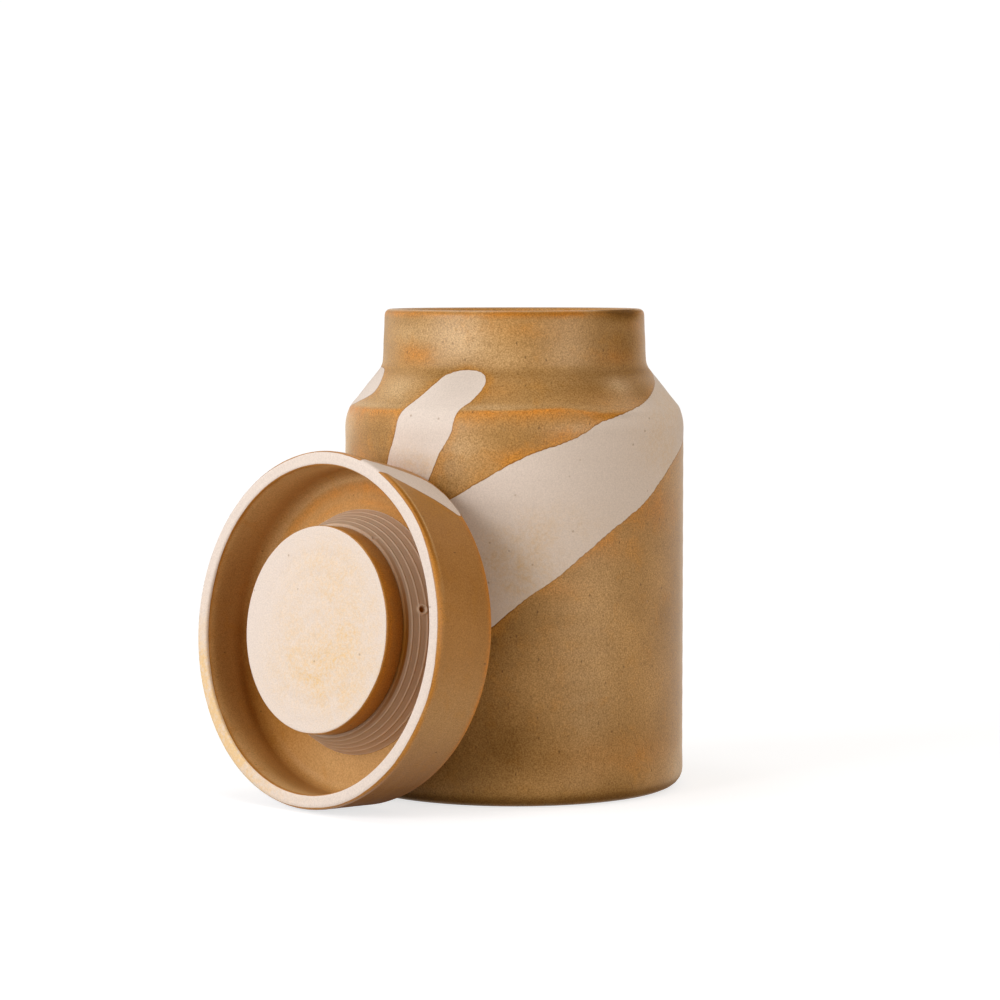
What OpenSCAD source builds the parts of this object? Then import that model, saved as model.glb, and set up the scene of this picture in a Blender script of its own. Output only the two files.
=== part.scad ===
// Stoneware storage jar with a plug lid and a ribbed seal, drawn with the lid taken off.
// Millimetres, +Z up. The origin is the centre of the jar's foot, on the table.
// The lid stands on its edge and leans back against the wall of the jar.

/* [Jar] */
// Outer diameter of the jar's body
body_d = 115; // [100:1:140]
// Height of the jar from its foot to its rim
jar_h = 162; // [120:1:220]
// Height of the sloping shoulder
shoulder_h = 16; // [12:0.5:24]
// Rounding where the body turns into the shoulder
shoulder_r = 13; // [4:0.5:18]
// Thickness of the clay wall of the body
wall = 4.8; // [3.5:0.1:7]
// Thickness of the jar's floor, over its hollow foot
floor_t = 5.5; // [4:0.5:10]
// Rounding inside, where the floor turns into the wall
inner_floor_r = 9; // [4:0.5:14]
// Rounding of the outer edge of the foot
foot_r = 6; // [2:0.5:9]
// Width of the ring that the jar stands on
foot_ring_w = 6; // [3:0.5:10]
// Depth of the hollow inside the foot ring
foot_hollow = 1.2; // [0.5:0.1:2.5]

/* [Neck] */
// Diameter of the straight mouth that the plug goes into
mouth_d = 78.4; // [74:0.2:82]
// Height of the neck, from the shoulder to the rim
neck_h = 19; // [14:0.5:24]
// Thickness of the neck's wall where it leaves the shoulder
neck_wall = 5.6; // [4.5:0.1:7]
// Thickness of the neck's wall at the rim
rim_wall = 4.8; // [3.5:0.1:6]
// Hollow rounding where the neck meets the shoulder
neck_r = 7; // [3:0.5:10]
// Rounding of both edges of the rim
rim_r = 2; // [1:0.1:2.4]

/* [Lid] */
// Height of the lid, from the flat of its crown to the edge of its skirt
lid_h = 25; // [23:0.5:30]
// How far the end of the lid's skirt stands out past the jar's body
lid_overhang = 1; // [-3:0.5:3]
// How much wider the lid is at the end of its skirt than at its crown, on each side
lid_flare = 1.8; // [0:0.1:4]
// Thickness of the lid's skirt at its end
skirt_t = 5.1; // [4:0.1:7]
// Thickness of the lid's crown
crown_t = 5.5; // [4.5:0.1:8]
// Rounding of the crown's outer edge
crown_r = 2; // [1:0.1:4]
// Rounding of the outer edge of the skirt's end
skirt_r = 1.8; // [0.5:0.1:2.2]
// Rounding of the inner edge of the skirt's end
skirt_inner_r = 0.9; // [0.4:0.1:1.4]
// Rounding inside, where the crown turns into the skirt
lid_fillet_r = 4; // [1.5:0.1:5]
// Space between the plug and the wall of the mouth
plug_gap = 5.3; // [4.5:0.1:7]
// How far the face of the plug lies inside the end of the skirt
plug_recess = 0.7; // [0:0.1:3]
// Rounding of the edge of the plug's face
plug_r = 1; // [0.4:0.1:2]

/* [Seal] */
// How far the lips of the seal are squeezed by the wall of the mouth
seal_squeeze = 1.3; // [0.4:0.1:1.6]
// Height of the seal along the plug
seal_h = 11.5; // [10:0.1:13]
// Thickness of the seal's sleeve and of its flaring skirt
seal_t = 1.4; // [1:0.1:1.8]
// Number of lips round the seal
lip_n = 5; // [3:1:6]
// Radius of the rounded edge of a lip
lip_r = 0.45; // [0.3:0.05:0.6]
// How far a lip stands out of the seal's skirt
lip_out = 0.8; // [0.6:0.1:1.2]
// How far the front lip of the seal stands out of the plug
seal_front = 1.2; // [0.6:0.1:2]
// Depth of the seat turned into the plug for the seal
seat_depth = 1.2; // [0.8:0.1:2]
// Diameter of the air hole through the seal's skirt
air_hole_d = 2.4; // [1.5:0.1:3.5]
// Width of the raised rim round the air hole
air_hole_rim = 0.6; // [0.4:0.1:1]
// Height of the air hole above the crown
air_hole_up = 6; // [4:0.1:8]
// Angle of the air hole round the seal
air_hole_angle = 14.5; // [0:0.5:360]

/* [Pose of the lid] */
// Side of the jar that the lid leans on, from the front towards the left
lid_swing = 45; // [0:1:360]
// Angle by which the lid leans back
lid_lean = 6.5; // [2:0.1:20]
// Distance by which the lid stands to the side of the jar's middle
lid_side = -3.8; // [-12:0.1:12]
// Clearance left where the lid touches the jar
touch_gap = 0.1; // [0.05:0.05:0.3]

/* [Hidden] */
$fn = 144;
body_r = body_d / 2;
mouth_r = mouth_d / 2;
neck_root_r = mouth_r + neck_wall;
lid_r = body_r + lid_overhang;
lid_crown_r = lid_r - lid_flare;
lid_taper = atan(lid_flare / lid_h);
plug_face_r = mouth_r - plug_gap;
shoulder_top = jar_h - neck_h;
shoulder_foot = shoulder_top - shoulder_h;
shoulder_slope = atan((body_r - neck_root_r) / shoulder_h);
seat_r = plug_face_r - seat_depth;
sleeve_r = seat_r + seal_t;
seal_top = crown_t + seal_h;
lip_pitch = (seal_h - 2 * lip_r) / (lip_n - 0.5);
rim_edge_r = min(rim_r, 0.45 * rim_wall);
skirt_edge_r = min(skirt_r, 0.35 * skirt_t);

function unit(v) = v / norm(v);
function left_of(v) = [-v[1], v[0]];
function cross_of(a, b) = a[0] * b[1] - a[1] * b[0];

// Angle by which an outline turns at point b, between its neighbours a and c
function turn(a, b, c) = acos(unit(b - a) * unit(c - b));
function cut_back(a, b, c, r) = r * tan(turn(a, b, c) / 2);
function arc_start(a, b, c, r) = b - unit(b - a) * cut_back(a, b, c, r);
function arc_end(a, b, c, r) = b + unit(c - b) * cut_back(a, b, c, r);
function bends_left(a, b, c) = cross_of(b - a, c - b) > 0;
function arc_centre(a, b, c, r) =
    arc_start(a, b, c, r) + left_of(unit(b - a)) * (bends_left(a, b, c) ? r : -r);

// Slice of a round corner, from its centre out past the points where the arc starts and ends
module corner_slice(a, b, c, r) {
    centre = arc_centre(a, b, c, r);
    intersection() {
        translate(centre) circle(r = r);
        polygon([centre,
                 centre + 2 * (arc_start(a, b, c, r) - centre),
                 centre + 4 * (b - centre),
                 centre + 2 * (arc_end(a, b, c, r) - centre)]);
    }
}

// Outline through points taken anticlockwise, each corner [x, y, rounding]
module rounded_outline(corners) {
    n = len(corners);
    p = [for (k = corners) [k[0], k[1]]];
    r = [for (k = corners) k[2]];
    function before(i) = p[(i + n - 1) % n];
    function after(i) = p[(i + 1) % n];
    difference() {
        union() {
            polygon([for (i = [0:n - 1])
                each r[i] > 0
                    ? [arc_start(before(i), p[i], after(i), r[i]), arc_end(before(i), p[i], after(i), r[i])]
                    : [p[i]]]);
            for (i = [0:n - 1])
                if (r[i] > 0 && bends_left(before(i), p[i], after(i)))
                    corner_slice(before(i), p[i], after(i), r[i]);
        }
        for (i = [0:n - 1])
            if (r[i] > 0 && !bends_left(before(i), p[i], after(i)))
                corner_slice(before(i), p[i], after(i), r[i]);
    }
}

// Half section of the jar: up the outside, over the rim and down the inside
module jar_section() {
    inner_foot = shoulder_foot - wall * tan(shoulder_slope / 2);
    inner_slope_h = (body_r - wall - mouth_r) / tan(shoulder_slope);
    rounded_outline([
        [0, foot_hollow, 0],
        [body_r - foot_r - foot_ring_w, foot_hollow, 0],
        [body_r - foot_r - foot_ring_w + foot_hollow, 0, 0],
        [body_r, 0, foot_r],
        [body_r, shoulder_foot, shoulder_r],
        [neck_root_r, shoulder_top, neck_r],
        [mouth_r + rim_wall, jar_h, rim_edge_r],
        [mouth_r, jar_h, rim_edge_r],
        [mouth_r, inner_foot + inner_slope_h, neck_r / 2],
        [body_r - wall, inner_foot, shoulder_r - wall / 2],
        [body_r - wall, foot_hollow + floor_t, inner_floor_r],
        [0, foot_hollow + floor_t, 0]
    ]);
}

module jar() {
    color("#A67C4A") rotate_extrude() jar_section();
}

// Distance from the jar's axis at which a ball as round as the crown's edge clears the jar
function clear_r(z) =
    let (
        keep = crown_r + touch_gap,
        arc_z = shoulder_foot - shoulder_r * tan(shoulder_slope / 2),
        bend_r = shoulder_r + keep,
        bend_h = bend_r * sin(shoulder_slope),
        on_bend = body_r - shoulder_r + sqrt(max(0, pow(bend_r, 2) - pow(z - arc_z, 2))),
        on_slope = body_r - shoulder_r + bend_r * cos(shoulder_slope)
            - (z - arc_z - bend_h) * tan(shoulder_slope)
    )
    z <= arc_z ? body_r + keep :
    z <= arc_z + bend_h ? on_bend : max(on_slope, neck_root_r + keep);

// How far the crown must stand off for the point of it at angle a and radius r to clear the jar
function stand_off(a, r, up) =
    let (
        reach = clear_r(up + r * sin(a) * cos(lid_lean)),
        aside = lid_side + r * cos(a)
    )
    r * sin(a) * sin(lid_lean) + sqrt(max(0, pow(reach, 2) - pow(aside, 2)));

// Places a thing drawn with the lid lying on its crown where the lid leans on the jar.
// The lid stands on the rounded edge of its crown or of its skirt's end, whichever reaches lower.
module leaning() {
    edge_r = lid_crown_r - crown_r * tan(45 - lid_taper / 2);
    end_edge_r = lid_r - skirt_edge_r * tan(45 + lid_taper / 2);
    up_on_crown = edge_r * cos(lid_lean) + crown_r;
    up_on_skirt = end_edge_r * cos(lid_lean) + skirt_edge_r
        - (lid_h - skirt_edge_r - crown_r) * sin(lid_lean);
    up = max(up_on_crown, up_on_skirt);
    away = max([for (a = [0:2:180], share = [0:0.02:1]) stand_off(a, share * edge_r, up)]);
    rotate([0, 0, -lid_swing])
        translate([lid_side, -away, up])
            rotate([90 - lid_lean, 0, 0])
                translate([0, 0, -crown_r])
                    children();
}

// Half section of the lid: along the crown, up the skirt, round its end and over the plug
module lid_section() {
    rounded_outline([
        [0, 0, 0],
        [lid_crown_r, 0, crown_r],
        [lid_r, lid_h, skirt_edge_r],
        [lid_r - skirt_t, lid_h, min(skirt_inner_r, 0.35 * skirt_t)],
        [lid_r - skirt_t, crown_t, lid_fillet_r],
        [seat_r, crown_t, 0],
        [seat_r, seal_top, 0],
        [plug_face_r, seal_top, 0],
        [plug_face_r, lid_h - plug_recess, plug_r],
        [0, lid_h - plug_recess, 0]
    ]);
}

module lid() {
    color("#B08550") leaning() rotate_extrude() lid_section();
}

// Outer radius of the seal's skirt between its lips, which flares towards the crown
function skirt_out_r(z) =
    let (front = plug_face_r + seal_front - lip_out, back = mouth_r + seal_squeeze - lip_out)
    front + (back - front) * (seal_top - z) / seal_h;

// Height at which the hollow behind the skirt ends, where skirt and sleeve grow together
function hollow_top() =
    seal_top - seal_h * (sleeve_r + seal_t - skirt_out_r(seal_top))
    / (skirt_out_r(crown_t) - skirt_out_r(seal_top));

// Half section of the seal: a sleeve on the plug and a flaring skirt with rounded lips
module seal_section() {
    difference() {
        union() {
            polygon([
                [seat_r, crown_t],
                [skirt_out_r(crown_t), crown_t],
                [skirt_out_r(seal_top), seal_top],
                [seat_r, seal_top]
            ]);
            for (i = [0:lip_n - 1]) {
                z = seal_top - lip_r - lip_pitch * i;
                translate([skirt_out_r(z) + lip_out - lip_r, z]) circle(r = lip_r);
                translate([skirt_out_r(z) - lip_r, z - lip_r]) square([lip_out, 2 * lip_r]);
            }
        }
        polygon([
            [sleeve_r, crown_t - 1],
            [skirt_out_r(crown_t - 1) - seal_t, crown_t - 1],
            [sleeve_r, hollow_top()]
        ]);
    }
}

module seal_ring() {
    hole_z = crown_t + air_hole_up;
    hole_r = skirt_out_r(hole_z);
    color("#9A7F68") leaning()
        difference() {
            union() {
                rotate_extrude() seal_section();
                rotate([0, 0, air_hole_angle])
                    translate([hole_r - 0.85 * seal_t, 0, hole_z])
                        rotate([0, 90, 0])
                            cylinder(d = air_hole_d + 2 * air_hole_rim, h = 0.85 * seal_t + lip_out);
            }
            rotate([0, 0, air_hole_angle])
                translate([sleeve_r, 0, hole_z])
                    rotate([0, 90, 0])
                        cylinder(d = air_hole_d, h = lid_r);
        }
}

jar();
lid();
seal_ring();
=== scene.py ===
"""A stoneware storage jar with its lid leaning on it, satin brown glaze with stripes of bare clay."""
import math

import bpy
import numpy as np
from mathutils import Matrix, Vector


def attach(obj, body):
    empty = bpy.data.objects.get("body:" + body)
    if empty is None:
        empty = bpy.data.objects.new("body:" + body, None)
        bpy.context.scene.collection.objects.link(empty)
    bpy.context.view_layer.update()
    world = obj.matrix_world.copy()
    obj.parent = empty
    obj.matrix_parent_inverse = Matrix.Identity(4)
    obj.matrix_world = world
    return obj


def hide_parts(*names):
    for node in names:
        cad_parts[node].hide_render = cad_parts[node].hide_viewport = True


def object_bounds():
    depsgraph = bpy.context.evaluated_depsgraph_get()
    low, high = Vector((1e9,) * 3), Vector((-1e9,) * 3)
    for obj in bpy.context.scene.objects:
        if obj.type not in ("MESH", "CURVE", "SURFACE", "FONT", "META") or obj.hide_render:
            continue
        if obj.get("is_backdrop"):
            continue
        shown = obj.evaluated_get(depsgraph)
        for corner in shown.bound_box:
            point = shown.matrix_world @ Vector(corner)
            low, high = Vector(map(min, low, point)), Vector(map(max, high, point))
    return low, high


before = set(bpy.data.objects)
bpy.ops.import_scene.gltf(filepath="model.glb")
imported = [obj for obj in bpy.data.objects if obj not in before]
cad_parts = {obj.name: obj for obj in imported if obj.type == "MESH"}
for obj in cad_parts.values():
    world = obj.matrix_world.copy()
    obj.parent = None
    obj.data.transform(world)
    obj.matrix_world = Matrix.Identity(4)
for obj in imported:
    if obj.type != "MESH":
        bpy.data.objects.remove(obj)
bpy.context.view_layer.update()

MM = 0.001

# Camera: a long lens a little above the rim, tipped down onto the jar, place in mm and tip in radians
lens_length, film_width = 121.893, 36
camera_at, tipped_down = (-4.9, -1150, 177.75), 0.0702
camera_data = bpy.data.cameras.new("camera")
camera_data.sensor_width = film_width
camera_data.lens = lens_length
camera_data.clip_start = 0.05
camera_data.clip_end = 50
camera = bpy.data.objects.new("camera", camera_data)
camera.location = [part * MM for part in camera_at]
camera.rotation_euler = (math.pi / 2 - tipped_down, 0, 0)
bpy.context.scene.collection.objects.link(camera)
bpy.context.scene.camera = camera


# Shapes

FAR = 8.0
SHARP = 0.001
BATCHES = 60


def smoothstep(x, low, high):
    """0 below low, 1 above high, and 3t² - 2t³ between, where t is the share of the way."""
    t = np.clip((x - low) / (high - low), 0, 1)
    return t * t * (3 - 2 * t)


def bell(x, centre, width):
    """Bell curve: e to the power of minus ((x - centre) / width)²."""
    return np.exp(-((x - centre) / width) ** 2)


def rounded_outline(corners):
    """Points (radius, height) along an outline of corners (radius, height, rounding, step), all in mm.

    Each corner is cut back along both of its sides by rounding × tan(half the turn), and the arc that
    touches both sides there takes its place. Step is the longest gap between points up to the next corner.
    """
    p = np.array([c[:2] for c in corners], float)
    points = [p[:1]]
    for i in range(1, len(p)):
        step = corners[i - 1][3]
        start = p[i]
        arc = np.empty((0, 2))
        if i < len(p) - 1:
            into = (p[i] - p[i - 1]) / np.linalg.norm(p[i] - p[i - 1])
            out = (p[i + 1] - p[i]) / np.linalg.norm(p[i + 1] - p[i])
            side = np.sign(into[0] * out[1] - into[1] * out[0])
            bend = math.acos(np.clip(into @ out, -1, 1))
            rounding = corners[i][2]
            cut = rounding * math.tan(bend / 2)
            if cut > SHARP:
                start = p[i] - into * cut
                centre = start + side * rounding * np.array([-into[1], into[0]])
                count = max(3, math.ceil(rounding * bend / min(step, 0.3 * rounding + 0.05)))
                turned_by = side * bend * np.arange(1, count + 1) / count
                spoke = start - centre
                arc = centre + np.stack([
                    spoke[0] * np.cos(turned_by) - spoke[1] * np.sin(turned_by),
                    spoke[0] * np.sin(turned_by) + spoke[1] * np.cos(turned_by)], 1)
        last = points[-1][-1]
        count = max(1, math.ceil(np.linalg.norm(start - last) / step))
        share = np.arange(1, count + 1)[:, None] / count
        points.append(last + (start - last) * share)
        if len(arc):
            points.append(arc)
    return np.concatenate(points)


def smooth_loop(corners, steps=10):
    """Closed curve through all the given points.

    Between two of them it is the cubic whose slope at each point is half the step from the point
    before to the point after.
    """
    p = np.array(corners, float)
    before, after, beyond = np.roll(p, 1, 0), np.roll(p, -1, 0), np.roll(p, -2, 0)
    t = (np.arange(steps) / steps)[None, :, None]
    a, b, c, d = (q[:, None, :] for q in (before, p, after, beyond))
    curve = 0.5 * (2 * b + (c - a) * t + (2 * a - 5 * b + 4 * c - d) * t ** 2
                   + (3 * b - a - 3 * c + d) * t ** 3)
    return curve.reshape(-1, 2)


def within(x, y, loop):
    """True where a point lies inside a closed loop.

    A line that runs right from such a point crosses the loop an odd number of times.
    """
    inside = np.zeros(x.shape, bool)
    for (x0, y0), (x1, y1) in zip(loop, np.roll(loop, -1, 0)):
        if y0 != y1:
            crosses = ((y0 > y) != (y1 > y)) & (x < x0 + (y - y0) * (x1 - x0) / (y1 - y0))
            inside ^= crosses
    return inside


def bare_depth(points, shown, around, height, loop, outline):
    """Distance in mm from each point to the edge of a bare patch, above 0 inside it and at most FAR.

    The loop is (angle in degrees, height in mm) on the outside, whose radius the outline gives for each
    height. The distance is measured in space to the loop laid on the outside: the nearest of its points
    is found first, then the nearest place on the two straight pieces that meet there.
    """
    turn = np.radians(loop[:, 0])
    r = np.interp(loop[:, 1], outline[:, 1], outline[:, 0])
    edge = np.stack([r * np.cos(turn), r * np.sin(turn), loop[:, 1]], 1)
    inside = np.zeros(len(points), bool)
    for lap in (-360, 0, 360):
        inside |= shown & within(around + lap, height, loop)
    nearest = np.empty(len(points), int)
    for batch in np.array_split(np.arange(len(points)), BATCHES):
        gap = points[batch][:, None, :] - edge[None, :, :]
        nearest[batch] = (gap ** 2).sum(2).argmin(1)
    distance = np.full(len(points), FAR)
    for side in (-1, 1):
        start = edge[nearest]
        along = edge[(nearest + side) % len(edge)] - start
        gap = points - start
        share = np.clip((gap * along).sum(1) / np.maximum((along ** 2).sum(1), 1e-9), 0, 1)
        distance = np.minimum(distance, np.linalg.norm(gap - share[:, None] * along, axis=1))
    return np.where(inside, 1, -1) * distance


def turned_grid(outline, columns):
    """Angle, radius and height of every point of a turned surface: the outline carried round the axis."""
    angle = np.arange(columns) * 2 * math.pi / columns
    a = np.broadcast_to(angle, (len(outline), columns))
    r = np.broadcast_to(outline[:, :1], a.shape)
    z = np.broadcast_to(outline[:, 1:], a.shape)
    return a, r, z


def degrees_from(zero, a):
    """The angle a, in degrees from the direction zero, between -180 and 180."""
    return (np.degrees(a) + (180 - zero)) % 360 - 180


def wheel_piece(name, a, r, z, attributes, place=Matrix.Identity(4)):
    """Mesh object of a turned surface, from the grids of its angle, radius and height in mm.

    A point is (r cos a, r sin a, z), turned and moved by place. Neighbouring rows and columns are joined
    by four-sided faces and the last column joins the first. Where the outline starts and ends on the
    axis, the row is one point and a fan of triangles closes it, and otherwise the last row joins the first.
    """
    rows, columns = a.shape
    grid = np.stack([r * np.cos(a), r * np.sin(a), z], 2)
    on_axis = bool(r[0, 0] == 0)
    ring = np.arange(rows * columns).reshape(rows, columns)
    if on_axis:
        ring = ring[1:-1] - columns + 1
        flat = np.concatenate([grid[0, :1], grid[1:-1].reshape(-1, 3), grid[-1, :1]])
    else:
        flat = grid.reshape(-1, 3)
        ring = np.concatenate([ring, ring[:1]])
    quads = np.stack([ring[:-1], np.roll(ring[:-1], -1, 1), np.roll(ring[1:], -1, 1), ring[1:]], 2)
    faces = quads.reshape(-1, 4).tolist()
    if on_axis:
        top = len(flat) - 1
        first, last = ring[0], ring[-1]
        faces += np.stack([np.zeros(columns, int), np.roll(first, -1), first], 1).tolist()
        faces += np.stack([np.full(columns, top), last, np.roll(last, -1)], 1).tolist()
    own = flat * MM
    placed = own @ np.array(place.to_3x3()).T + np.array(place.translation)
    mesh = bpy.data.meshes.new(name)
    mesh.from_pydata(placed.tolist(), [], faces)
    mesh.shade_smooth()
    layer = mesh.attributes.new("own", "FLOAT_VECTOR", "POINT")
    layer.data.foreach_set("vector", own.ravel())
    for key, values in attributes.items():
        if on_axis:
            values = np.concatenate([values[0, :1], values[1:-1].ravel(), values[-1, :1]])
        layer = mesh.attributes.new(key, "FLOAT", "POINT")
        layer.data.foreach_set("value", np.ascontiguousarray(values, dtype=np.float32).ravel())
    mesh.update()
    piece = bpy.data.objects.new(name, mesh)
    bpy.context.scene.collection.objects.link(piece)
    return piece


def marks_on(outline, spots):
    """Sum of bell curves round spots (radius, height, width, strength) of an outline, one value a row."""
    total = np.zeros(len(outline))
    for r0, z0, width, strength in spots:
        total += strength * bell(np.hypot(outline[:, 0] - r0, outline[:, 1] - z0), 0, width)
    return total[:, None]


def spots_on(around, height, spots):
    """Sum of bell shaped spots (degrees round, height, half width in degrees, half height, strength)."""
    total = np.zeros(np.broadcast(around, height).shape)
    for b0, z0, wide, high, strength in spots:
        total += strength * bell((around - b0 + 180) % 360 - 180, 0, wide) * bell(height, z0, high)
    return total


def path_length(outline):
    """Length in mm along an outline from its first point to each of its points."""
    return np.concatenate([[0], np.cumsum(np.linalg.norm(np.diff(outline, axis=0), axis=1))])


def length_at(outline, r0, z0):
    """Length along an outline at its point nearest to (r0, z0)."""
    return path_length(outline)[np.argmin(np.hypot(outline[:, 0] - r0, outline[:, 1] - z0))]


# Jar, in mm

body_r, inner_r, mouth_r, rim_outer_r, neck_foot_r = 57.5, 52.7, 39.2, 44, 44.8
jar_h, neck_foot_z, shoulder_z, floor_z, foot_hollow = 162, 143, 127, 6.7, 1.2
jar_outline = rounded_outline([
    (0, foot_hollow, 0, 8),
    (45.5, foot_hollow, 0.4, 0.5),
    (46.7, 0, 0.5, 2),
    (body_r, 0, 6, 1.25),
    (body_r, 110, 0, 0.7),
    (body_r, shoulder_z, 13, 0.7),
    (neck_foot_r, neck_foot_z, 5.5, 1.1),
    (rim_outer_r, jar_h, 2, 0.5),
    (mouth_r, jar_h, 2, 2.4),
    (mouth_r, 142.3, 3.5, 2.4),
    (inner_r, 125.3, 10.6, 5),
    (inner_r, floor_z, 9, 6),
    (0, floor_z, 0, 0)])
rim_row = int(np.argmax(jar_outline[:, 1])) + 1
jar_side = jar_outline[np.argmax(jar_outline[:, 0]) - 6:rim_row]

# Stripes left bare, as bearings in degrees from the front towards the right and heights in mm
long_stripe = [
    (-106, 27), (-99, 37), (-86, 51), (-70, 66), (-58, 81), (-51, 97),
    (-46.6, 112.7), (-44.3, 118.6), (-42.7, 123.3), (-42.2, 127.1), (-39.9, 130.6), (-36.7, 133.7),
    (-32.8, 137.5), (-30, 140.2), (-28.2, 141.1), (-22.4, 142.4), (-16.1, 142.3), (-12.3, 140.8),
    (-11.7, 138.2), (-13.4, 135.1), (-16.2, 132.2), (-18.6, 130.3), (-20.3, 127.6), (-21.2, 123.1),
    (-23.1, 119.2), (-25.6, 115.3), (-27.4, 111.4), (-29.4, 107.1), (-32, 101), (-33, 97.4), (-29, 97),
    (-21, 101), (-14.2, 105), (-9.9, 107.6), (-1.1, 112.6), (7.3, 116.4), (16.6, 119.3), (23.2, 122.3),
    (29.4, 125.6), (38.7, 128), (45.2, 129.7), (55.1, 132.1), (64.3, 134.9), (74.4, 137.7), (85, 140.6),
    (100, 142), (121, 140.4), (150, 137.6), (178, 135.4), (206, 136.6), (236, 139.4), (262, 141.6),
    (275, 142.3), (287.2, 141.7), (293.6, 137.9), (294, 134), (284.6, 131), (279, 129.8), (262, 127),
    (238, 123.4), (208, 121.6), (178, 123.2), (150, 125), (120, 124.4), (96, 120.6), (78.7, 116.3),
    (65.8, 110.7), (56.9, 104.9), (47.5, 98.4), (38.8, 93.4), (31.1, 88.7), (21.6, 81.7), (13.5, 75.4),
    (5, 69.8), (-1.9, 64.4), (-7.2, 59.8), (-16, 52), (-28, 42), (-42, 32.4), (-58, 23.4), (-76, 16.4),
    (-92, 14.4), (-103, 18)]
jar_stripe = smooth_loop([(bearing - 90, height) for bearing, height in long_stripe])

# Marks of the wheel: throwing rings outside and in, a low crest round the shoulder, an oval and wavy rim
ring_relief, ring_spacing = 0.03, 7.5
inner_ring_relief, inner_ring_spacing = 0.12, 9
crest_relief, crest_width, oval_relief = 0.13, 1.2, 0.12
a, r, z = turned_grid(jar_outline, 384)
row = np.arange(len(jar_outline))[:, None]
bearing = degrees_from(-90, a)
outer = (row < rim_row) & (z > foot_hollow + 0.1)
side_on = np.where(outer, smoothstep(z, 6, 14), 0)
rings = ring_relief * np.sin(2 * math.pi * z / ring_spacing + 0.9 * np.sin(a) + 0.5 * np.sin(2 * a + 1))
crest_at = np.interp(bearing, [-180, -30, 0, 16, 33, 60, 180],
                     [129.5, 129.5, 129.8, 130.6, 128.4, 128, 129.5])
crest = crest_relief * bell(z, crest_at + 0.3, crest_width) * (r < body_r - 0.3)
oval = -oval_relief * (1 - np.cos(2 * (a - 0.6)))
inner = (row >= rim_row + 8) & (r > mouth_r - 1.2)
inner_rings = inner_ring_relief * np.sin(2 * math.pi * z / inner_ring_spacing + a)
jar_r = r + side_on * (rings - ring_relief + crest + oval)
jar_r = jar_r + np.where(inner, smoothstep(z, 8, 20) * inner_rings, 0)
jar_z = z + smoothstep(z, jar_h - 16, jar_h) * (-0.10 + 0.06 * np.cos(2 * a) + 0.04 * np.cos(a))

# Depth into the bare clay: the stripe, and the foot, whose glaze was wiped off
points = np.stack([jar_r * np.cos(a), jar_r * np.sin(a), jar_z], 2).reshape(-1, 3)
jar_bare = bare_depth(points, np.broadcast_to(outer, a.shape).ravel(), np.degrees(a).ravel(),
                      z.ravel(), jar_stripe, jar_side).reshape(a.shape)
jar_length = path_length(jar_outline)[:, None]
foot_edge = length_at(jar_outline, 53, 0.3) - jar_length
jar_bare = np.maximum(jar_bare, np.clip(foot_edge, -FAR, FAR))

# Thin glaze: a line below the rim, a band under the crest of the shoulder, and clouds
below_crest = smoothstep(crest_at - z, -0.3, 0.5) * np.exp(-np.maximum(crest_at - z, 0) / 2.6)
jar_thin = np.where(outer, bell(z, 160.9, 1) * (0.5 + spots_on(bearing, 0, [
    (-60, 0, 18, 1, 0.6), (12, 0, 22, 1, 0.9), (150, 0, 50, 1, 0.5)])), 0)
jar_thin += np.where(outer, below_crest * (0.72 + spots_on(bearing, 0, [
    (6, 0, 24, 1, 0.8), (-66, 0, 18, 1, 0.6), (170, 0, 50, 1, 0.4)])), 0)
jar_thin += np.where(outer, spots_on(bearing, z, [
    (-49, 147, 11, 3.4, 0.6), (0, 156, 17, 3, 0.25), (50, 146, 12, 2.5, 0.5), (66, 157, 10, 2, 0.4),
    (4, 113.5, 10, 4, 0.9), (17, 121, 8, 2.5, 0.6), (-8, 136, 8, 3, 0.3), (34, 134, 14, 4, 0.2),
    (-64, 108, 8, 10, 0.5), (50, 97, 14, 6, 0.5), (30, 85, 12, 5, 0.4), (12, 72, 10, 4, 0.3),
    (120, 150, 22, 5, 0.5), (-140, 152, 25, 5, 0.5), (150, 90, 18, 12, 0.4), (-120, 95, 16, 14, 0.4),
    (100, 35, 20, 9, 0.4), (-150, 60, 25, 12, 0.4), (40, 16, 22, 6, 0.35)]), 0)
jar_thin += marks_on(jar_outline, [(39.3, 160.5, 1.4, 0.8)])

# Pooled glaze, darker and duller, in the bend and root of the neck and as a line round the rim; and
# painted shade, also darker and duller: the lid's shadow on the body beside it, the shaded right of the
# neck and rim, the slope of the shoulder, the tip of the stripe on the shoulder, the left edge of the
# neck, and darker towards the foot
jar_pool_and_shade = np.where(outer, spots_on(bearing, z, [
    (56, 161, 16, 2.4, 1.1), (12, 160.8, 22, 1.3, 0.45), (37, 127.6, 9, 0.9, 0.8),
    (12, 136.5, 24, 4.5, 0.2), (31, 137, 16, 5.5, 0.55), (56, 134, 9, 5, 0.38),
    (-22, 138, 12, 7, 0.85), (-32, 117, 9, 8, 0.5), (57, 151, 15, 12, 0.62), (-84, 152, 9, 8, 0.3),
    (200, 137, 40, 4, 0.3), (-6, 82, 13, 22, 0.4), (-12, 60, 12, 24, 0.4), (0, 18, 48, 13, 0.45),
    (-3, 25, 8, 12, 0.3), (34, 5, 9, 5, 0.3)]), 0)
# Pooled glaze in the root of the neck, and painted shade along the foot where it meets the floor
jar_pool_and_shade += marks_on(jar_outline, [(46.3, 141.5, 2.2, 0.3), (56, 2, 2.2, 0.8)])
jar_pool_and_shade += 0.3 * bell(jar_length, length_at(jar_outline, 43.85, 161), 0.45)
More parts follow.
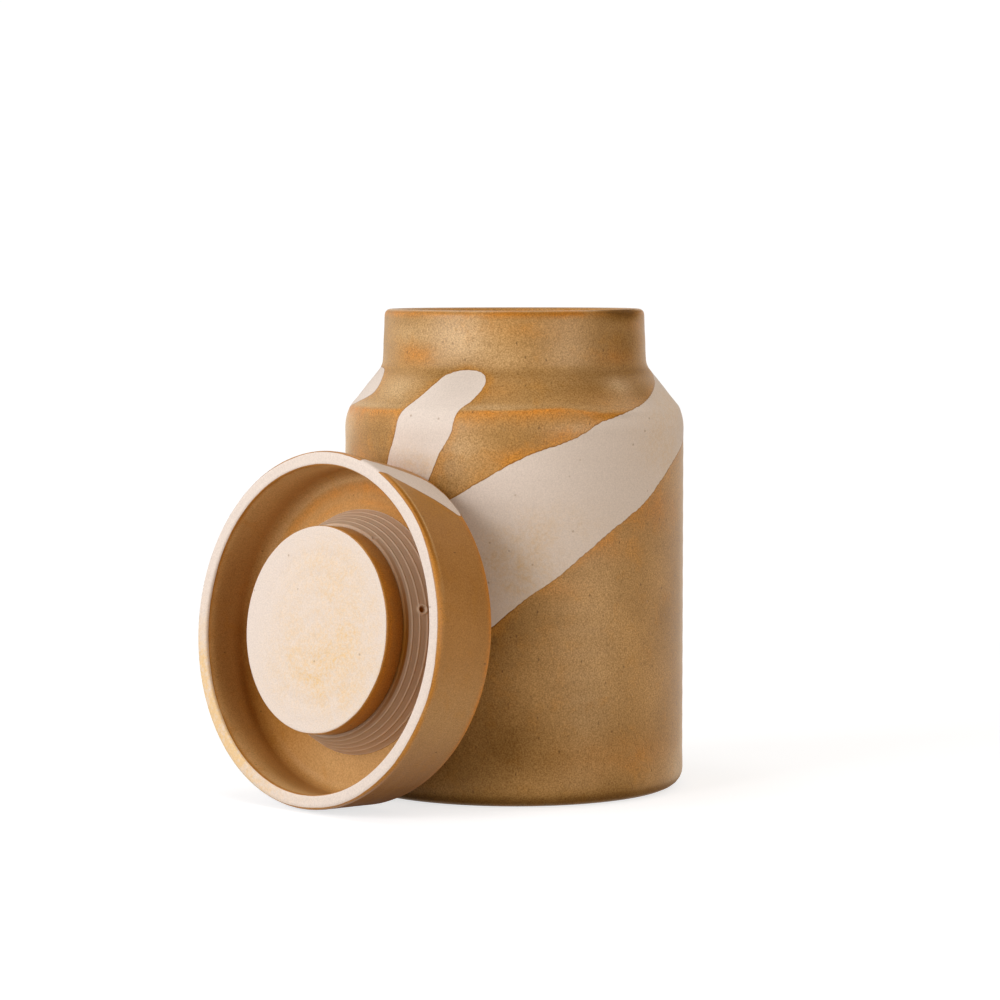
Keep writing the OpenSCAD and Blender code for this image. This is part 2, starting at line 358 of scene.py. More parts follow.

# Milky glaze in clouds, and painted highlight in its colour: the key lamp's highlight on the left of the
# neck and shoulder, one on the right of the shoulder, painted reflection of the white room down both
# edges of the body, painted highlight along the crest of the shoulder and on top of the rim
jar_milky_and_highlight = np.where(outer, spots_on(bearing, z, [
    (-50, 154, 16, 4, 0.7), (-22, 152, 13, 8, 1.1), (-4, 146, 9, 4, 0.5), (24, 147, 11, 9, 0.5),
    (28, 60, 12, 45, 0.35), (26, 122.5, 12, 3, 0.9), (-18, 118, 8, 6, 0.6), (-50, 136, 9, 4.5, 1),
    (44, 137, 6.5, 2.4, 1.5), (87, 60, 8, 60, 1.3), (85, 14, 9, 9, 0.9), (-84, 120, 9, 30, 1.3),
    (70, 5, 8, 8, 1.2), (23, 25, 7, 12, 0.25), (-73, 124, 8, 5, 0.7), (12, 125, 34, 2.2, 0.15),
    (-160, 120, 40, 10, 0.3), (160, 40, 40, 20, 0.3)]), 0)
# Painted highlight along the crest of the shoulder
jar_milky_and_highlight += np.where(outer, bell(z, crest_at + 0.9, 1.1) * (0.15 + spots_on(bearing, 0, [
    (-12, 0, 13, 1, 0.6), (-62, 0, 14, 1, 0.5)])), 0)
# Painted highlight on top of the rim, left off where the rim's right side lies in shade
rim_highlight = bell(jar_length, length_at(jar_outline, 42.8, 161.9), 0.5)
jar_milky_and_highlight += 1.5 * rim_highlight * (1 - bell(bearing, 58, 16))

# Warm stains on the clay
jar_stain = np.where(outer, spots_on(bearing, z, [
    (-39, 107, 8, 9, 0.8), (-30, 112, 8, 4, 0.4), (60, 118, 14, 12, 0.6), (74, 130, 12, 6, 0.5),
    (0, 78, 14, 14, 0.8), (16, 92, 16, 8, 0.3)]), 0)
jar = wheel_piece("stoneware_jar", a, jar_r, jar_z,
                  {"bare": jar_bare, "thin": jar_thin, "pool_and_shade": jar_pool_and_shade, "pale_and_highlight": jar_milky_and_highlight,
                   "stain": jar_stain})

# Lid, in mm, made lying on its crown and then leant on the jar: heights count from the crown

crown_r, crown_rounding, rim_r, lid_h, skirt_inner_r = 56.7, 2, 58.5, 25, 53.4
channel_z, root_r, head_r, head_z, face_z = 5.5, 32.7, 33.9, 17, 24.3
swing, lean, aside, clearance = math.radians(45), math.radians(6.5), -3.8, 0.1
taper = math.atan((rim_r - crown_r) / lid_h)
crown_edge = crown_r - crown_rounding * math.tan(math.pi / 4 - taper / 2)
away = (body_r + clearance + crown_rounding
        + crown_edge * math.sqrt(1 - (aside / crown_edge) ** 2) * math.sin(lean))
up = crown_edge * math.cos(lean) + crown_rounding
leaning = (Matrix.Rotation(-swing, 4, "Z")
           @ Matrix.Translation((aside * MM, -away * MM, up * MM))
           @ Matrix.Rotation(math.pi / 2 - lean, 4, "X")
           @ Matrix.Translation((0, 0, -crown_rounding * MM)))

lid_outline = rounded_outline([
    (0, 0, 0, 2.5),
    (crown_r, 0, crown_rounding, 0.8),
    (rim_r, lid_h, 1.8, 0.3),
    (skirt_inner_r, lid_h, 0.9, 0.8),
    (skirt_inner_r, channel_z, 4, 1),
    (root_r, channel_z, 0.3, 1.5),
    (root_r, head_z, 0.2, 0.6),
    (head_r, head_z, 0.2, 0.6),
    (head_r, face_z, 0.8, 1.5),
    (0, face_z, 0, 0)])
skirt_from_r = 54.6
lid_side = lid_outline[:np.argmax(lid_outline[:, 1])]
lid_side = lid_side[lid_side[:, 0] > skirt_from_r]

# Bare patch on the skirt, as angles in degrees round the lid and depths in mm below its rim
patch = smooth_loop([(angle, lid_h - depth) for angle, depth in [
    (73.6, 0.1), (70, 0.1), (65.5, 0.2), (64, 1.9), (60.9, 4.8), (57.7, 8.2), (54.4, 12), (51.2, 16),
    (47.5, 19.8), (45, 22.6), (46.5, 23.6), (50.5, 23.6), (57, 23.1), (63, 22.2), (67, 20.2), (70, 17),
    (72.6, 12.5), (74.5, 7.5), (75, 3)]])

# Marks of the making: the crown end pressed in, a line turned under the rim with its burr, and rings
a, r, z = turned_grid(lid_outline, 480)
angle = degrees_from(0, a)
lap = angle % 360
on_skirt = (r > skirt_from_r) & (z > 0.6)
pressed = 1.4 * bell(angle, 83, 22) + 0.45 * bell(angle, -62, 22) - 0.8 * bell(angle, 4, 44)
groove_at = 23.2 + 0.15 * np.sin(2 * a)
groove = 0.14 * bell(z, groove_at - 1, 0.45) - 0.26 * bell(z, groove_at, 0.35)
groove = groove * (0.2 + 0.8 * bell(angle, 45, 30))
lid_rings = 0.02 * np.sin(2 * math.pi * z / 5.5 + 0.8 * np.sin(a)) - 0.05
face_rings = 0.12 * (np.cos(r * 0.9) - 1) * smoothstep(33 - r, 0, 4)
lid_r = r + np.where(on_skirt & (z < 24.2), groove - 0.1 + lid_rings * smoothstep(z, 3, 6), 0)
lid_r = lid_r - np.where(r > 54.2, pressed * (1 - z / lid_h) * smoothstep(r, 54.2, 55.6), 0)
lid_z = z + np.where((r < 33.4) & (z > 24), face_rings, 0)

# Depth into the bare clay: the patch, the rim and the plug's face, both wiped a little unevenly
points = np.stack([lid_r * np.cos(a), lid_r * np.sin(a), lid_z], 2).reshape(-1, 3)
lid_bare = bare_depth(points, on_skirt.ravel(), np.degrees(a).ravel(), z.ravel(),
                      patch, lid_side).reshape(a.shape)
lid_length = path_length(lid_outline)[:, None]
uneven = 0.05 * np.sin(3 * a + 1) + 0.04 * np.sin(7 * a) + 0.03 * np.sin(13 * a + 2)
rim_from = length_at(lid_outline, 57.55, 24.7) + 3 * uneven - 2.4 * bell(lap, 192, 48)
rim_to = length_at(lid_outline, 53.65, 24.8) + uneven + 1.2 * bell(lap, 197, 48)
face_from = length_at(lid_outline, 33.6, 24.1) + uneven
lid_bare = np.maximum(lid_bare, np.minimum(lid_length - rim_from, rim_to - lid_length))
lid_bare = np.clip(np.maximum(lid_bare, lid_length - face_from), -FAR, FAR)

# Thin glaze: both edges of the rim, the crown's edge, the head of the plug and rings on the channel floor
inside = (z < 24) & (z > 5) & (r < 53.6) & (r > 33)
on_floor = inside & (z < 6.5)
lid_thin = 0 * a + marks_on(lid_outline, [
    (58.3, 24.2, 0.7, 1.1), (53.45, 24.2, 0.7, 1.0), (56.3, 1.2, 1.3, 1.3), (33.9, 22.9, 1.1, 1.0),
    (33.9, 20, 2.6, 0.55)])
floor_rings = 0.65 * bell(r, 47.5, 1.8) + 0.4 * bell(r, 42.5, 1.2)
lid_thin += np.where(on_floor, bell(angle, 95, 60) * floor_rings, 0)

# Pooled glaze in the turned line, and darker on the side of the plug's head; and painted shade: on the
# skirt, most of all low down where it faces the floor, on the shaded left of the channel and on two
# patches of the channel floor
lid_pool_and_shade = 0 * a + marks_on(lid_outline, [(33.9, 18.2, 2.6, 0.3)])
lid_pool_and_shade += np.where(on_skirt, 1.8 * bell(z, groove_at, 0.45) * bell(angle, 42, 19), 0)
lid_pool_and_shade += np.where(on_skirt & (z < 22.6), 0.5 * bell(angle, 26, 28) + 1.3 * bell(angle, -84, 34), 0)
lid_pool_and_shade += np.where(inside & (z < 14), bell(lap, 208, 34) * (1 - smoothstep(z, 9, 14)), 0)
lid_pool_and_shade += np.where(on_floor, 0.35 * bell(angle, 62, 22) + 0.3 * bell(angle, -75, 26), 0)

# Painted light in the colour of milky glaze: on the shaded inner wall of the skirt, near its rim and low
# down; painted highlight along the fillet of the channel floor and paler floor below the plug; a pale
# patch on the skirt; and painted highlight on the burr of the turned line
lid_painted_light = np.where(inside, spots_on(angle, z, [
    (-75, 6, 45, 5, 0.4), (180, 23, 70, 1.6, 0.7), (100, 20.5, 40, 7, 1.4), (-105, 21.5, 36, 5, 1.4),
    (140, 14, 42, 12, 0.4)]), 0)
lid_painted_light += np.where(on_floor, 0.5 * bell(angle, 95, 50) * bell(r, 50.3, 1), 0)
lid_painted_light += np.where(on_floor, 0.2 * bell(angle, -100, 30), 0)
lid_painted_light += np.where(on_skirt, 0.4 * bell(angle, -26, 16), 0)
lid_painted_light += np.where(on_skirt, 1.1 * bell(z, groove_at - 1, 0.45) * bell(angle, 44, 24), 0)

# Warm stains on the clay: on one side of the rim, and soft ones on the plug's face
on_rim = (z > 24) & (r > 53)
on_face = (z > 24) & (r < 34)
lid_stain = np.where(on_rim, 1.6 * bell(lap, 212, 24) + 0.6 * bell(lap, 244, 22), 0)
across, along = r * np.cos(a), r * np.sin(a)
for x0, y0, wide, high, strength in (
        (15, -3, 17, 22, 0.75), (-3, -15, 18, 12, 0.55), (2, 21, 16, 9, 0.4), (-13, 4, 10, 14, 0.25)):
    lid_stain += np.where(on_face, strength * bell(across, x0, wide) * bell(along, y0, high), 0)
lid = wheel_piece("stoneware_lid", a, lid_r, lid_z,
                  {"bare": lid_bare, "thin": lid_thin, "pool_and_shade": lid_pool_and_shade, "pale_and_highlight": lid_painted_light,
                   "stain": lid_stain}, leaning)

# Seal, in mm: a sleeve on the plug and a flaring skirt with rounded lips, leaning with the lid

skirt_front_r, skirt_back_r, sleeve_r = 34.85, 40.25, 34.1
seal_front, seal_back = head_z, channel_z + 0.02
lip_count, lip_height, lip_half, first_lip, lip_pitch = 5, 0.13, 0.27, 14.9, 2.3
hole_angle, hole_z, hole_depth, hole_rim_height = 15, 11.6, 0.6, 0.4
nick_angle, nick_depth = 62.5, 0.5
seal_outline = rounded_outline([
    (33.3, seal_front, 0, 0.5),
    (32.72, seal_front, 0.1, 1),
    (32.72, seal_back, 0.1, 0.5),
    (sleeve_r, seal_back, 0.1, 1),
    (sleeve_r, 15, 0.3, 1),
    (34.6, 15, 0.3, 1),
    (38.5, seal_back, 0.2, 0.4),
    (skirt_back_r, seal_back, 0.25, 0.2),
    (skirt_front_r, seal_front, 0.3, 0.3),
    (33.3, seal_front, 0, 0)])[:-1]

a, r, z = turned_grid(seal_outline, 720)
angle = degrees_from(0, a)
flare = (skirt_back_r - skirt_front_r) / (seal_front - channel_z)
outside = r > skirt_front_r + flare * (seal_front - z) - 0.4
from_hole = np.hypot((a - math.radians(hole_angle)) * 37.9, (z - hole_z) * 1.1)
lips = np.zeros(a.shape)
for k in range(lip_count):
    from_lip = np.abs(z - (first_lip - lip_pitch * k)) / lip_half
    lips = np.maximum(lips, np.sqrt(np.clip(1 - from_lip ** 2, 0, 1)))
lips = lips * smoothstep(from_hole, 1.5, 2.1)
hole_rim = bell(from_hole, 1.45, 0.32)
hole = hole_rim_height * hole_rim - hole_depth * (1 - smoothstep(from_hole, 0.75, 1.15))
nick = -nick_depth * bell((a - math.radians(nick_angle)) * 35, 0, 0.45) * bell(z, 16.5, 0.7)
seal_r = r + np.where(outside, lip_height * lips + hole + nick, 0)

# Painted highlight on the lips, round the hole and on two stretches of the back edge; dark brown in the
# hole; and dark on one side of the front edge against the plug's head, partly the brown plug seen
# through the rubber and partly painted shade
edge_highlight = 0.45 * bell(angle, 90, 36) + 0.5 * bell(angle, -75, 34)
lip_and_edge_highlight = np.clip(np.where(outside, np.maximum(lips, hole_rim), 0) + edge_highlight, 0, 1.3)
dark_edge = smoothstep(z, 15.7, 16.2) * bell(angle, -4, 52)
seal = wheel_piece("ribbed_seal", a, seal_r, z,
                   {"crest": lip_and_edge_highlight,
                    "hole": 1 - smoothstep(from_hole, 0.7, 1.1) * (1 - dark_edge)}, leaning)


# Finishes

ATTRIBUTE, NOISE, CELLS = "ShaderNodeAttribute", "ShaderNodeTexNoise", "ShaderNodeTexVoronoi"
MATH, VECTOR_MATH = "ShaderNodeMath", "ShaderNodeVectorMath"
MIX, RANGE = "ShaderNodeMix", "ShaderNodeMapRange"


def linear(hex_colour, alpha=1.0):
    """Linear red, green and blue of an sRGB colour written in hex."""
    out = []
    for i in (0, 2, 4):
        c = int(hex_colour[i + 1:i + 3], 16) / 255
        out.append(c / 12.92 if c <= 0.04045 else ((c + 0.055) / 1.055) ** 2.4)
    return (*out, alpha)


def repeats(mm):
    """Scale of a pattern whose features lie this many mm apart: whole repeats in a metre."""
    return round(1000 / mm)


def add(tree, kind, inputs=(), **settings):
    """Adds one node, gives it its settings, and fills its inputs with plain values or links.

    Inputs go by name or number. A range turns input 0, from 1 to 2, into what runs from 3 to 4. A mix
    has its share at 0 and its two colours at 6 and 7. The terms of a sum are 0, 1 and 2.
    """
    node = tree.nodes.new(kind)
    for name, value in settings.items():
        setattr(node, name, value)
    for key, value in dict(inputs).items():
        if isinstance(value, bpy.types.NodeSocket):
            tree.links.new(value, node.inputs[key])
        else:
            node.inputs[key].default_value = value
    return node


def new_finish(name):
    """An empty material, its tree and its output node."""
    material = bpy.data.materials.new(name)
    material.use_nodes = True
    material.node_tree.nodes.clear()
    output = add(material.node_tree, "ShaderNodeOutputMaterial")
    return material, material.node_tree, output


def satin_glaze_on_buff_stoneware(name, glaze, glaze_light, glaze_milky_and_highlight, glaze_deep_and_shade, clay, clay_warm,
                                  run_share, grain_share, pit_share, ragged_by):
    """Iron-bearing satin glaze, dipped on buff stoneware with stripes left bare, fired to about 1240 °C.

    The glaze is half matt, tan where it lies thick, orange where it runs thin over edges, with fine
    darker specks. The bare clay is fully matt, pale, and pitted where grog burnt out.
    """
    cloud_orange, edge_orange, halo_orange = "#BE8638", "#CD842C", "#C18332"
    lip_brown, run_brown, pinhole_brown, pit_brown = "#80561F", "#6A4A1E", "#5E421E", "#97795C"
    speck_dark, speck_light = (0.71, 0.66, 0.54, 1), (1.29, 1.32, 1.40, 1)
    glaze_thickness, peel_depth, pit_depth = 0.12, 0.035, 0.1
    material, tree, output = new_finish(name)
    own = add(tree, ATTRIBUTE, attribute_name="own").outputs["Vector"]
    # The pool mark also carries painted shade, and the pale mark painted highlight and reflection
    bare, thin, pool_and_shade, pale_and_highlight, stain = [
        add(tree, ATTRIBUTE, attribute_name=key).outputs["Fac"]
        for key in ("bare", "thin", "pool_and_shade", "pale_and_highlight", "stain")]

    # Edge of the glaze, ragged by up to 0.2 mm: waves 5 mm long and crumbs of 1.1 mm
    waves = add(tree, NOISE, {"Vector": own, "Scale": repeats(5), "Detail": 1}).outputs[0]
    crumbs = add(tree, NOISE, {"Vector": own, "Scale": repeats(1.111), "Detail": 2}).outputs[0]
    ragged = add(tree, MATH, {0: crumbs, 1: 0.6, 2: waves}, operation="MULTIPLY_ADD").outputs[0]
    ragged = add(tree, MATH, {0: ragged, 1: 0.8}, operation="SUBTRACT").outputs[0]
    edge = add(tree, MATH, {0: ragged, 1: ragged_by, 2: bare}, operation="MULTIPLY_ADD").outputs[0]
    is_clay = add(tree, RANGE, {0: edge, 1: -0.1, 2: 0.1}, interpolation_type="SMOOTHSTEP").outputs[0]

    # Glaze: drifts of tone 25 mm wide, milky where it is pale or painted with a highlight, and clouds of
    # orange 9 mm wide
    drift = add(tree, NOISE, {"Vector": own, "Scale": repeats(25), "Detail": 4}).outputs[0]
    drift = add(tree, RANGE, {0: drift, 1: 0.35, 2: 0.68}).outputs[0]
    milky_and_highlight = add(tree, MATH, {0: pale_and_highlight, 1: 0.7}, operation="MULTIPLY", use_clamp=True).outputs[0]
    cloud = add(tree, NOISE, {"Vector": own, "Scale": repeats(9.1), "Detail": 5, "Roughness": 0.65,
                              "Distortion": 0.4}).outputs[0]
    cloudy = add(tree, RANGE, {0: cloud, 1: 0.54, 2: 0.72, 4: 0.4}).outputs[0]

    # Thin glaze on edges breaks orange in patches, and pooled glaze and painted shade are darker and more
    # even
    patchy = add(tree, RANGE, {0: cloud, 1: 0.32, 2: 0.62, 3: 0.3}).outputs[0]
    breaking = add(tree, MATH, {0: thin, 1: patchy}, operation="MULTIPLY", use_clamp=True).outputs[0]
    even = add(tree, RANGE, {0: cloud, 1: 0.32, 2: 0.62, 3: 0.6, 4: 0.85}).outputs[0]
    pooled_and_shaded = add(tree, MATH, {0: pool_and_shade, 1: even}, operation="MULTIPLY", use_clamp=True).outputs[0]

    # Halo along the stripes: orange that fades over about 3 mm, and a dark lip where the glaze ends
    reach = add(tree, MATH, {0: cloud, 1: 11, 2: edge}, operation="MULTIPLY_ADD").outputs[0]
    halo = add(tree, RANGE, {0: reach, 1: 1.8, 2: 6, 4: 0.85}, interpolation_type="SMOOTHSTEP").outputs[0]
    halo_share = add(tree, MATH, {0: thin, 1: 0.4}, operation="ADD", use_clamp=True).outputs[0]
    halo = add(tree, MATH, {0: halo, 1: halo_share}, operation="MULTIPLY").outputs[0]
    lip = add(tree, RANGE, {0: edge, 1: -0.6, 2: -0.15, 4: 0.7}, interpolation_type="SMOOTHSTEP").outputs[0]
    lip = add(tree, MATH, {0: lip, 1: patchy}, operation="MULTIPLY").outputs[0]
    tone = add(tree, MIX, {0: drift, 6: linear(glaze), 7: linear(glaze_light)}, data_type="RGBA").outputs[2]
    for share, colour in ((milky_and_highlight, glaze_milky_and_highlight), (cloudy, cloud_orange), (breaking, edge_orange),
                          (pooled_and_shaded, glaze_deep_and_shade), (halo, halo_orange), (lip, lip_brown)):
        tone = add(tree, MIX, {0: share, 6: tone, 7: linear(colour)}, data_type="RGBA").outputs[2]

    # Specks: a fine grain of 0.5 mm, drawn a little coarse so that it shows
    grain = add(tree, NOISE, {"Vector": own, "Scale": repeats(0.4762), "Detail": 2}).outputs[0]
    grained = add(tree, RANGE, {0: grain, 1: 0.3, 2: 0.7, 3: 0.5 - 0.5 * grain_share,
                                4: 0.5 + 0.5 * grain_share}).outputs[0]
    speck = add(tree, MIX, {0: grained, 6: speck_dark, 7: speck_light}, data_type="RGBA").outputs[2]
    tone = add(tree, VECTOR_MATH, {0: tone, 1: speck}, operation="MULTIPLY").outputs[0]

    # Dark runs 0.8 mm wide, and pinholes 0.5 mm wide about 1 cm apart, all drawn down to twice that
    drawn = add(tree, VECTOR_MATH, {0: own, 1: (1, 1, 0.5)}, operation="MULTIPLY").outputs[0]
    runs = add(tree, NOISE, {"Vector": drawn, "Scale": repeats(0.8), "Detail": 2}).outputs[0]
    runs = add(tree, RANGE, {0: runs, 1: 0.6, 2: 0.72, 4: run_share}).outputs[0]
    holes = add(tree, CELLS, {"Vector": drawn, "Scale": repeats(2.38)})
    pinhole = add(tree, RANGE, {0: holes.outputs["Distance"], 1: 0.07, 2: 0.14, 3: 0.7, 4: 0}).outputs[0]
    luck = add(tree, "ShaderNodeSeparateColor", {0: holes.outputs["Color"]}).outputs[0]
    luck = add(tree, MATH, {0: luck, 1: 1.6 * run_share}, operation="LESS_THAN").outputs[0]
    pinhole = add(tree, MATH, {0: pinhole, 1: luck}, operation="MULTIPLY").outputs[0]
    for share, colour in ((runs, run_brown), (pinhole, pinhole_brown)):
        tone = add(tree, MIX, {0: share, 6: tone, 7: linear(colour)}, data_type="RGBA").outputs[2]

    # Clay: faint warm drifts 13 mm wide where it is stained, a fine grain, and painted shade, up to 14 %
    # darker, where the pool and shade mark lies
    warm = add(tree, NOISE, {"Vector": own, "Scale": repeats(13.3), "Detail": 7, "Roughness": 0.68,
                             "Distortion": 1.2}).outputs[0]
    warm = add(tree, RANGE, {0: warm, 1: 0.34, 2: 0.66, 3: 0.3}).outputs[0]
    flecks = add(tree, RANGE, {0: crumbs, 1: 0.35, 2: 0.65, 3: 0.5, 4: 1.5}).outputs[0]
    warm = add(tree, MATH, {0: warm, 1: flecks}, operation="MULTIPLY").outputs[0]
    warm = add(tree, MATH, {0: warm, 1: stain}, operation="MULTIPLY", use_clamp=True).outputs[0]
    body = add(tree, MIX, {0: warm, 6: linear(clay), 7: linear(clay_warm)}, data_type="RGBA").outputs[2]
    sandy = add(tree, RANGE, {0: grain, 1: 0.3, 2: 0.7, 3: 0.91, 4: 1.06}).outputs[0]
    shaded = add(tree, RANGE, {0: pool_and_shade, 3: 1, 4: 0.86}).outputs[0]
    sandy = add(tree, MATH, {0: sandy, 1: shaded}, operation="MULTIPLY").outputs[0]
    body = add(tree, VECTOR_MATH, {0: body, 3: sandy}, operation="SCALE").outputs[0]

    # Pits in the clay, 0.7 mm wide and some 15 mm apart, fewer on the lid
    cells = add(tree, CELLS, {"Vector": own, "Scale": repeats(5.26)})
    pit = add(tree, RANGE, {0: cells.outputs["Distance"], 1: 0.04, 2: 0.1, 3: 1, 4: 0}).outputs[0]
    chance = add(tree, "ShaderNodeSeparateColor", {0: cells.outputs["Color"]}).outputs[0]
    chosen = add(tree, MATH, {0: chance, 1: pit_share}, operation="LESS_THAN").outputs[0]
    pit = add(tree, MATH, {0: pit, 1: chosen}, operation="MULTIPLY").outputs[0]
    stained = add(tree, MATH, {0: pit, 1: 0.5}, operation="MULTIPLY").outputs[0]
    body = add(tree, MIX, {0: stained, 6: body, 7: linear(pit_brown)}, data_type="RGBA").outputs[2]
    colour = add(tree, MIX, {0: is_clay, 6: tone, 7: body}, data_type="RGBA").outputs[2]

    # Gloss: satin on the glaze, duller where it pools or is painted in shade, and none to speak of on the
    # clay
    satin = add(tree, RANGE, {0: grain, 1: 0.3, 2: 0.7, 3: 0.36, 4: 0.46}).outputs[0]
    duller = add(tree, MATH, {0: pool_and_shade, 1: 1}, operation="MULTIPLY", use_clamp=True).outputs[0]
    satin = add(tree, MATH, {0: duller, 1: 0.25, 2: satin}, operation="MULTIPLY_ADD").outputs[0]
    roughness = add(tree, MIX, {0: is_clay, 2: satin, 3: 0.85}).outputs[0]
    gloss = add(tree, RANGE, {0: pool_and_shade, 1: 0, 2: 0.7, 3: 0.3, 4: 0.05}).outputs[0]

    # Relief in mm: the glaze stands above the clay, with a fine peel, and the pits are sunk
    step = add(tree, RANGE, {0: edge, 1: -0.5, 2: 0.1, 3: glaze_thickness, 4: 0},
               interpolation_type="SMOOTHSTEP").outputs[0]
    peel = add(tree, MATH, {0: grain, 1: peel_depth, 2: step}, operation="MULTIPLY_ADD").outputs[0]
    height = add(tree, MATH, {0: pit, 1: -pit_depth, 2: peel}, operation="MULTIPLY_ADD").outputs[0]
    relief = add(tree, "ShaderNodeBump", {"Strength": 1, "Distance": MM, "Height": height}).outputs[0]
    shader = add(tree, "ShaderNodeBsdfPrincipled", {
        "Base Color": colour, "Roughness": roughness, "Normal": relief, "IOR": 1.5,
        "Specular IOR Level": gloss})
    tree.links.new(shader.outputs[0], output.inputs[0])
    return material


def translucent_silicone(name):
    """Moulded silicone rubber, taupe and cloudy, which light enters a little way; its lips and thin edges
    carry a painted highlight in a paler colour.
    """
    taupe_deep, taupe, lip_highlight, hole_brown = "#B0947A", "#BFA389", "#D6BFA6", "#8E5A1E"
    material, tree, output = new_finish(name)
    own = add(tree, ATTRIBUTE, attribute_name="own").outputs["Vector"]
    crest = add(tree, ATTRIBUTE, attribute_name="crest").outputs["Fac"]
    hole = add(tree, ATTRIBUTE, attribute_name="hole").outputs["Fac"]

    # Clouds 7 mm wide, and a bloom of dust that dulls it in specks of 0.4 mm
    cloud = add(tree, NOISE, {"Vector": own, "Scale": repeats(6.67), "Detail": 3}).outputs[0]
    tone = add(tree, MIX, {0: cloud, 6: linear(taupe_deep), 7: linear(taupe)}, data_type="RGBA").outputs[2]
    # Painted highlight on the lips and edges, and the brown of the glaze seen in the hole
    pale_and_highlight = add(tree, MATH, {0: crest, 1: 0.75}, operation="MULTIPLY").outputs[0]
    for share, colour in ((pale_and_highlight, lip_highlight), (hole, hole_brown)):
        tone = add(tree, MIX, {0: share, 6: tone, 7: linear(colour)}, data_type="RGBA").outputs[2]
    gloss = add(tree, RANGE, {0: hole, 3: 0.5, 4: 0.05}).outputs[0]
    dust = add(tree, NOISE, {"Vector": own, "Scale": repeats(0.4)}).outputs[0]
    rough = add(tree, RANGE, {0: dust, 1: 0.3, 2: 0.7, 3: 0.42, 4: 0.58}).outputs[0]
    relief = add(tree, "ShaderNodeBump", {"Strength": 0.3, "Distance": 0.05 * MM, "Height": dust}).outputs[0]
    shader = add(tree, "ShaderNodeBsdfPrincipled", {
        "Base Color": tone, "Roughness": rough, "Normal": relief, "IOR": 1.41, "Specular IOR Level": gloss,
        "Subsurface Weight": 0.25, "Subsurface Radius": (1.0, 0.7, 0.5), "Subsurface Scale": 1.2 * MM})
    tree.links.new(shader.outputs[0], output.inputs[0])
    return material


jar.data.materials.append(satin_glaze_on_buff_stoneware(
    "satin_glazed_stoneware_jar", "#A07942", "#B88E55", "#CBAA7C", "#6E4A1C", "#DFD2C7", "#DABF9C",
    run_share=0.28, grain_share=1, pit_share=0.8, ragged_by=0.45))
lid.data.materials.append(satin_glaze_on_buff_stoneware(
    "satin_glazed_stoneware_lid", "#A9793D", "#B48346", "#DDB880", "#875214", "#E2D4C9", "#E6C595",
    run_share=0.06, grain_share=0.6, pit_share=0.2, ragged_by=0.2))
seal.data.materials.append(translucent_silicone("silicone_seal"))

for piece, node, slot in (
        (jar, "jar", "jar_glaze"), (lid, "lid", "lid_glaze"), (seal, "seal_ring", "seal_rubber")):
    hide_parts(node)
    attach(piece, "root")


# Floor, backdrop and light

def seen_directly(tree):
    """1 for rays from the camera, off gloss or through glass, and 0 for the light that falls on things."""
    path = add(tree, "ShaderNodeLightPath")
    either = add(tree, MATH, {0: path.outputs["Is Camera Ray"], 1: path.outputs["Is Glossy Ray"]},
                 operation="MAXIMUM").outputs[0]
    return add(tree, MATH, {0: either, 1: path.outputs["Is Transmission Ray"]},
               operation="MAXIMUM").outputs[0]


# The floor, in metres, is lit round the jar, fades to plain white, and lies a hair under the foot
floor_half, lit_within, white_beyond, white_level = 4, 0.18, 0.5, 1.03
floor_mesh = bpy.data.meshes.new("floor")
floor_mesh.from_pydata([(-floor_half, -floor_half, 0), (floor_half, -floor_half, 0),
                        (floor_half, floor_half, 0), (-floor_half, floor_half, 0)], [], [(0, 1, 2, 3)])
floor = bpy.data.objects.new("floor", floor_mesh)
floor.location.z = -0.02 * MM
bpy.context.scene.collection.objects.link(floor)
paper, tree, output = new_finish("white_paper_sweep")
matt = add(tree, "ShaderNodeBsdfDiffuse", {"Color": linear("#C4C6CA")})
glow = add(tree, "ShaderNodeEmission", {"Color": linear("#FFFFFF"), "Strength": 0.7})
lit = add(tree, "ShaderNodeAddShader", {0: matt.outputs[0], 1: glow.outputs[0]})
white = add(tree, "ShaderNodeEmission", {"Color": linear("#FFFFFF"), "Strength": white_level})
bounce = add(tree, "ShaderNodeBsdfDiffuse", {"Color": linear("#A39C93")})
place = add(tree, "ShaderNodeTexCoord").outputs["Object"]
from_middle = add(tree, VECTOR_MATH, {0: place}, operation="LENGTH").outputs["Value"]
far = add(tree, RANGE, {0: from_middle, 1: lit_within, 2: white_beyond},
          interpolation_type="SMOOTHSTEP").outputs[0]
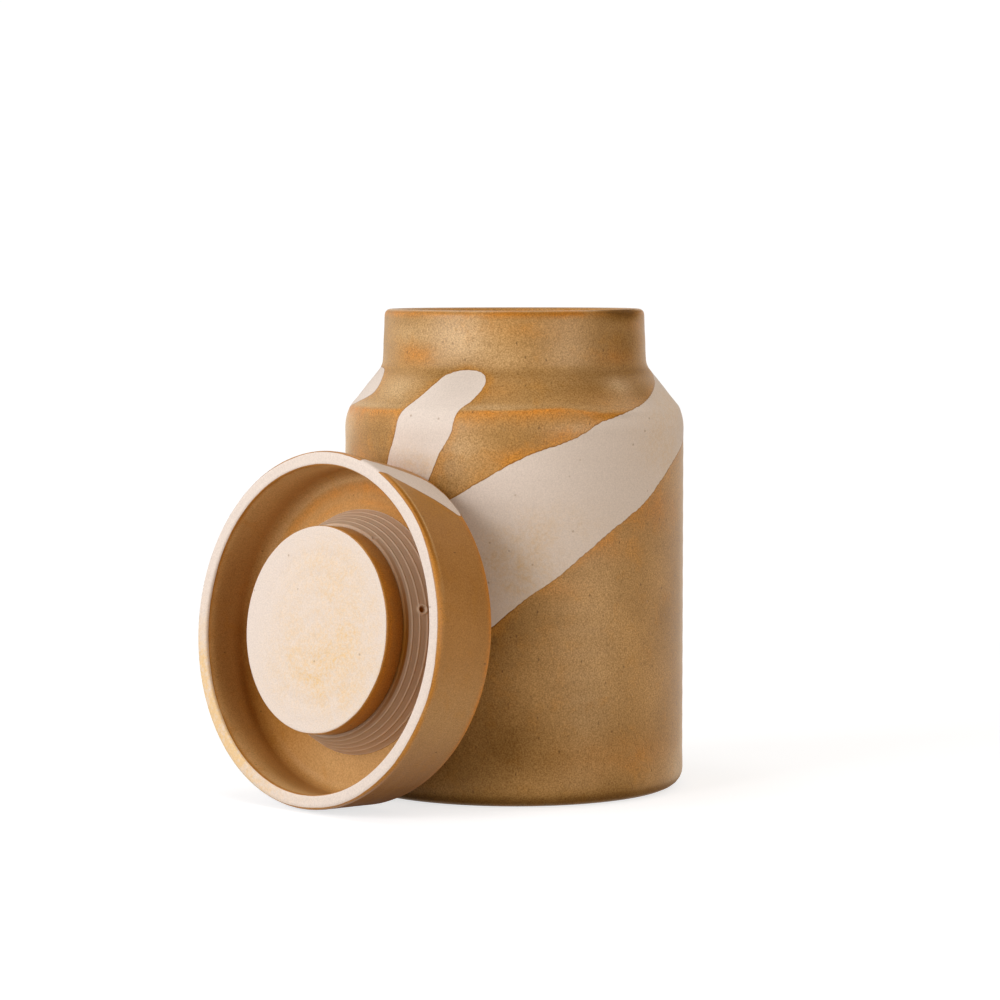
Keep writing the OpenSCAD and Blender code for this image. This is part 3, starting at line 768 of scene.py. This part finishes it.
sweep = add(tree, "ShaderNodeMixShader", {0: far, 1: lit.outputs[0], 2: white.outputs[0]})
both = add(tree, "ShaderNodeMixShader", {0: seen_directly(tree), 1: bounce.outputs[0], 2: sweep.outputs[0]})
tree.links.new(both.outputs[0], output.inputs[0])
floor_mesh.materials.append(paper)
floor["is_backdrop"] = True

# The room is plain white where it is seen, and gives a dimmer, warm light
room_light, room_seen = (0.34, 0.31, 0.27, 1), (white_level, white_level, white_level, 1)
world = bpy.data.worlds.new("white_studio")
bpy.context.scene.world = world
world.use_nodes = True
tree = world.node_tree
tree.nodes.clear()
backdrop = add(tree, MIX, {0: seen_directly(tree), 6: room_light, 7: room_seen},
               data_type="RGBA").outputs[2]
sky = add(tree, "ShaderNodeBackground", {"Color": backdrop, "Strength": 1})
add(tree, "ShaderNodeOutputWorld", {0: sky.outputs[0]})


def softbox(name, bearing, elevation, distance, width, height, watts, colour):
    """Rectangular lamp facing the middle of the jar; bearing is from the front towards the right.

    Bearing and elevation are in degrees, and distance, width and height in metres.
    """
    lamp = bpy.data.lights.new(name, "AREA")
    lamp.shape = "RECTANGLE"
    lamp.size, lamp.size_y = width, height
    lamp.energy = watts
    lamp.color = linear(colour)[:3]
    holder = bpy.data.objects.new(name, lamp)
    b, e = math.radians(bearing), math.radians(elevation)
    outward = Matrix.Rotation(b, 4, "Z") @ Matrix.Rotation(math.pi / 2 - e, 4, "X")
    middle = Matrix.Translation((0, 0, 80 * MM))
    holder.matrix_world = middle @ outward @ Matrix.Translation((0, 0, distance))
    bpy.context.scene.collection.objects.link(holder)


softbox("key_left", -55, 15, 1.3, 0.9, 0.8, 14, "#FDFDFF")
softbox("fill_front_right", 44, 8, 1.6, 1.0, 0.7, 9.6, "#FFF2E6")
softbox("top_back_right", 115, 45, 1.2, 0.4, 0.4, 1.2, "#FFFFFF")
softbox("top_left", -100, 78, 1.2, 0.4, 0.4, 1.5, "#FFFFFF")

bpy.context.scene.view_settings.view_transform = "Standard"

low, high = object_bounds()
